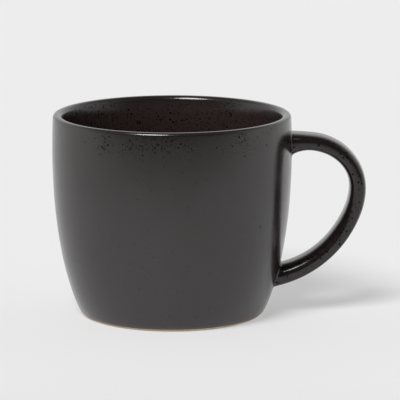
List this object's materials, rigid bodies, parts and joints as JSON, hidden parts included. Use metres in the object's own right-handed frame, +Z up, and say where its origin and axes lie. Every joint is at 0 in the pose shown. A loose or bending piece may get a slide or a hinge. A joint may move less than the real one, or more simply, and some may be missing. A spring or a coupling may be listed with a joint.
{
  "type": "ceramic mug",
  "caption": "Barrel-shaped stoneware mug with a rounded rim, a bare clay foot ring and an ear-shaped strap handle, satin dark glaze inside and out.",
  "frame": {"origin": "centre of the foot ring, on the surface the mug stands on; the glazed underside is 0.8 mm above it", "axes": "+Z up out of the mouth, +X towards the handle, +Y to the left of someone who faces +X"},
  "size_m": [0.1336, 0.102, 0.086],
  "materials": {
    "bare_clay": "matt fired stoneware, tan, fine grit",
    "handle_clay": "matt fired stoneware under the glaze",
    "cup_glaze": "satin charcoal glaze with fine black specks and pinholes",
    "base_glaze": "satin charcoal glaze",
    "handle_glaze": "satin charcoal glaze, glossier where it pools",
    "slip": "clay slip bead under a glossy run of the same glaze"
  },
  "bodies": {
    "root": {"cup_body": "bare_clay", "cup_glaze": "cup_glaze", "base_glaze": "base_glaze", "handle": "handle_clay", "handle_glaze": "handle_glaze", "upper_handle_slip": "slip", "lower_handle_slip": "slip"}
  },
  "joints": []
}
